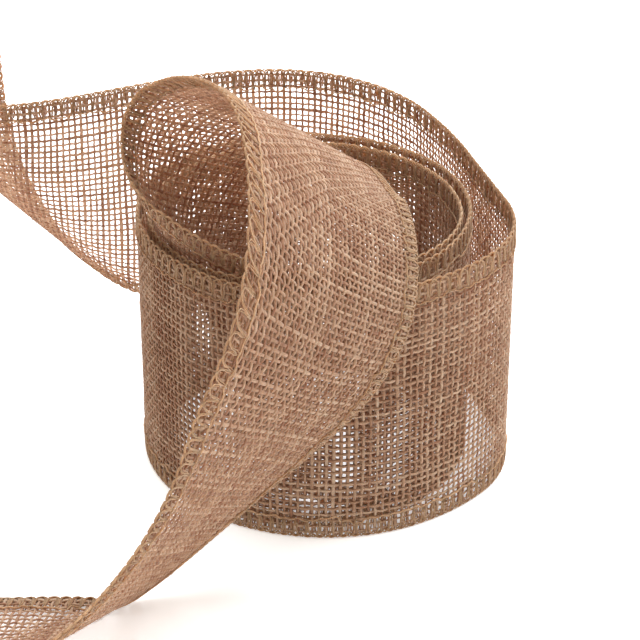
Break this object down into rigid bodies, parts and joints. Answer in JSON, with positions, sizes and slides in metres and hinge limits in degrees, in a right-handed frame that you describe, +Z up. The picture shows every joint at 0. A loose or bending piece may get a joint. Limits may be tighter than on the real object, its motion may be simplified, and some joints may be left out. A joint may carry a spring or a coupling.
{
  "type": "ribbon roll",
  "caption": "Loose roll of open-weave ribbon with stitched edges, standing on edge, its outer end swept away behind and its inner end curled over the front rim onto the table.",
  "frame": {"origin": "the foot of the outer turn at the front of the roll, in the middle of the ribbon's thickness, on the table", "axes": "+Z up, +X to the right and +Y to the back, seen from the side where the inner end comes over the rim"},
  "size_m": [0.2373, 0.219, 0.1429],
  "materials": {
    "weave": "open plain weave of tan jute-like yarn",
    "stitching": "overlock stitching in beige thread"
  },
  "bodies": {
    "roll": {"outer_turn_weave": "weave", "outer_turn_top_stitching": "stitching", "outer_turn_bottom_stitching": "stitching", "middle_turn_weave": "weave", "middle_turn_top_stitching": "stitching", "middle_turn_bottom_stitching": "stitching", "inner_turn_weave": "weave", "inner_turn_top_stitching": "stitching", "inner_turn_bottom_stitching": "stitching", "lead_loop_weave": "weave", "lead_loop_top_stitching": "stitching", "lead_loop_bottom_stitching": "stitching", "lead_strip_weave": "weave", "lead_strip_top_stitching": "stitching", "lead_strip_bottom_stitching": "stitching"},
    "lead_tail": {"lead_tail_weave": "weave", "lead_tail_top_stitching": "stitching", "lead_tail_bottom_stitching": "stitching"},
    "lead_tail_tip": {"lead_tail_tip_weave": "weave", "lead_tail_tip_top_stitching": "stitching", "lead_tail_tip_bottom_stitching": "stitching"},
    "outer_tail": {"outer_tail_weave": "weave", "outer_tail_top_stitching": "stitching", "outer_tail_bottom_stitching": "stitching"},
    "outer_tail_tip": {"outer_tail_tip_weave": "weave", "outer_tail_tip_top_stitching": "stitching", "outer_tail_tip_bottom_stitching": "stitching"}
  },
  "joints": [
    {"name": "outer_tail_swing", "type": "hinge", "parent": "roll", "child": "outer_tail", "pos_m": [0.0222, 0.0888, 0.03], "axis": [0, 0, 1], "range_deg": [-15, 15]},
    {"name": "outer_tail_curl", "type": "hinge", "parent": "outer_tail", "child": "outer_tail_tip", "pos_m": [-0.0914, 0.1077, 0.0396], "axis": [-0.6647, -0.1522, 0.7315], "range_deg": [-20, 20]},
    {"name": "lead_tail_lift", "type": "hinge", "parent": "roll", "child": "lead_tail", "pos_m": [-0.0268, -0.0411, 0.0294], "axis": [0.276, 0.8517, -0.4454], "range_deg": [0, 35]},
    {"name": "lead_tail_tip_lift", "type": "hinge", "parent": "lead_tail", "child": "lead_tail_tip", "pos_m": [-0.0934, -0.0491, 0.0025], "axis": [0.8799, 0.475, -0.0152], "range_deg": [0, 40]}
  ]
}
